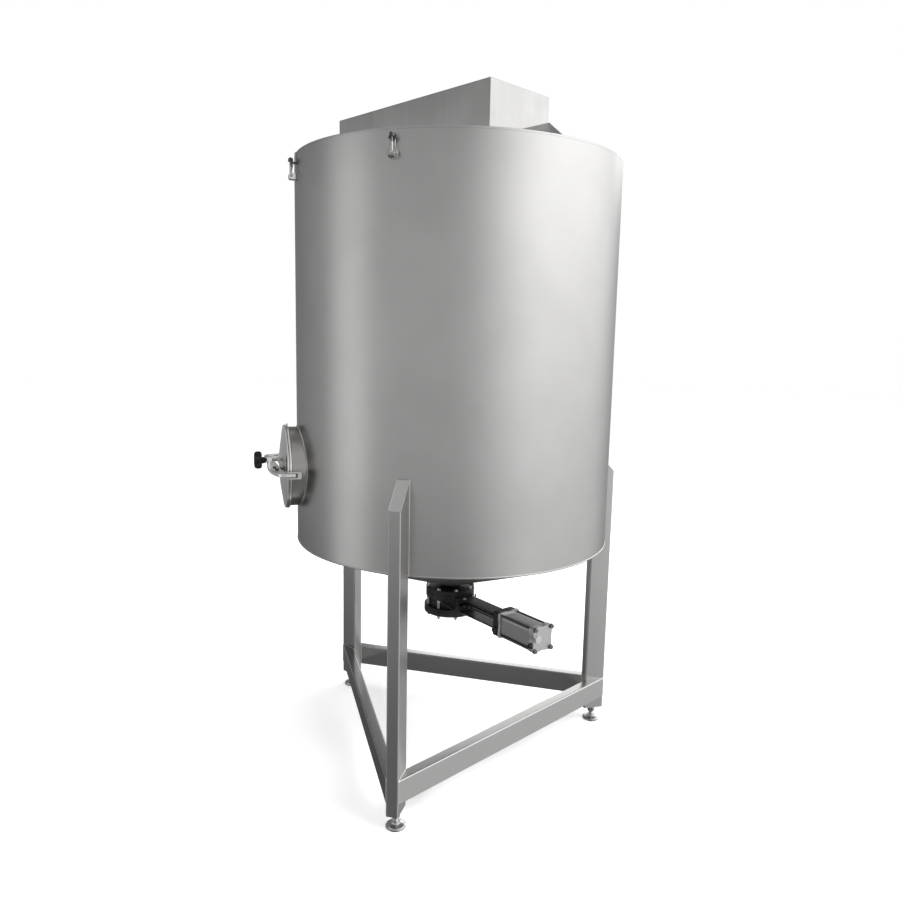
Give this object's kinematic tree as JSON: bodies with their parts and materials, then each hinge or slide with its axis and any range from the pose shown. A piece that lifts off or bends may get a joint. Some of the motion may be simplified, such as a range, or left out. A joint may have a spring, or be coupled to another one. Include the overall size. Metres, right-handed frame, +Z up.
{
  "type": "mixing tank",
  "caption": "Round stainless mixing tank on legs, with flat clamped covers, a drive hood, a side manway with a swing clamp, and a knife gate valve with an air cylinder.",
  "frame": {"origin": "centre of the object's box in X and Y, on the floor under the feet", "axes": "+Z up along the tank's axis, -Y towards the front leg, +X to the right of the front leg"},
  "size_m": [1.4862, 1.5299, 2.891],
  "materials": {
    "satin_stainless": "satin stainless steel",
    "brushed_sheet": "brushed stainless sheet",
    "polished_stainless": "polished stainless steel",
    "black_enamel": "black enamelled cast iron",
    "black_plastic": "matt black moulded plastic",
    "anodised_aluminium": "anodised aluminium"
  },
  "bodies": {
    "tank": {"tank_shell": "satin_stainless", "bottom_cone": "satin_stainless", "lid_deck": "satin_stainless", "cover_front": "satin_stainless", "cover_back": "satin_stainless", "drive_hood": "brushed_sheet", "hood_deflector": "brushed_sheet", "leg_front": "satin_stainless", "leg_right": "satin_stainless", "leg_left": "satin_stainless", "foot_front": "satin_stainless", "foot_right": "satin_stainless", "foot_left": "satin_stainless", "rail_right": "satin_stainless", "rail_back": "satin_stainless", "rail_left": "satin_stainless", "manway_neck": "satin_stainless", "manway_hinge": "polished_stainless", "manway_catch": "polished_stainless", "latch_bracket_1": "polished_stainless", "latch_fork_1": "polished_stainless", "latch_bracket_2": "polished_stainless", "latch_fork_2": "polished_stainless", "latch_bracket_3": "polished_stainless", "latch_fork_3": "polished_stainless", "latch_bracket_4": "polished_stainless", "latch_fork_4": "polished_stainless", "outlet_flange": "black_enamel", "valve_body": "black_enamel", "lower_flange": "black_enamel", "yoke_top": "black_enamel", "yoke_bottom": "black_enamel", "cylinder_plate": "black_enamel", "cylinder_front_cap": "anodised_aluminium", "cylinder_barrel": "anodised_aluminium", "cylinder_end_cap": "anodised_aluminium"},
    "manway_arm": {"manway_door": "satin_stainless", "clamp_arm": "polished_stainless"},
    "knob": {"star_knob": "black_plastic"},
    "latch_1": {"latch_bolt_1": "polished_stainless"},
    "latch_2": {"latch_bolt_2": "polished_stainless"},
    "latch_3": {"latch_bolt_3": "polished_stainless"},
    "latch_4": {"latch_bolt_4": "polished_stainless"},
    "gate": {"gate_blade": "satin_stainless"}
  },
  "joints": [
    {"name": "manway_door_hinge", "type": "hinge", "parent": "tank", "child": "manway_arm", "pos_m": [-0.71682, -0.18586, 1.337], "axis": [0, 0, -1], "range_deg": [0, 110]},
    {"name": "knob_spin", "type": "hinge", "parent": "manway_arm", "child": "knob", "pos_m": [-0.68334, -0.41493, 1.365], "axis": [-0.848, -0.5299, 0], "continuous": true},
    {"name": "latch_1_swing", "type": "hinge", "parent": "tank", "child": "latch_1", "pos_m": [-0.01149, -0.68313, 2.536], "axis": [0.9977, -0.068, 0], "range_deg": [0, 150]},
    {"name": "latch_2_swing", "type": "hinge", "parent": "tank", "child": "latch_2", "pos_m": [-0.56036, -0.36624, 2.536], "axis": [0.5577, -0.83, 0], "range_deg": [0, 150]},
    {"name": "latch_3_swing", "type": "hinge", "parent": "tank", "child": "latch_3", "pos_m": [0.63536, 0.43724, 2.536], "axis": [-0.5577, 0.83, 0], "range_deg": [0, 150]},
    {"name": "latch_4_swing", "type": "hinge", "parent": "tank", "child": "latch_4", "pos_m": [0.08649, 0.75413, 2.536], "axis": [-0.9977, 0.068, 0], "range_deg": [0, 150]},
    {"name": "gate_slide", "type": "slide", "parent": "tank", "child": "gate", "axis": [0.7986, -0.6018, 0], "range_m": [0, 0.075]}
  ]
}
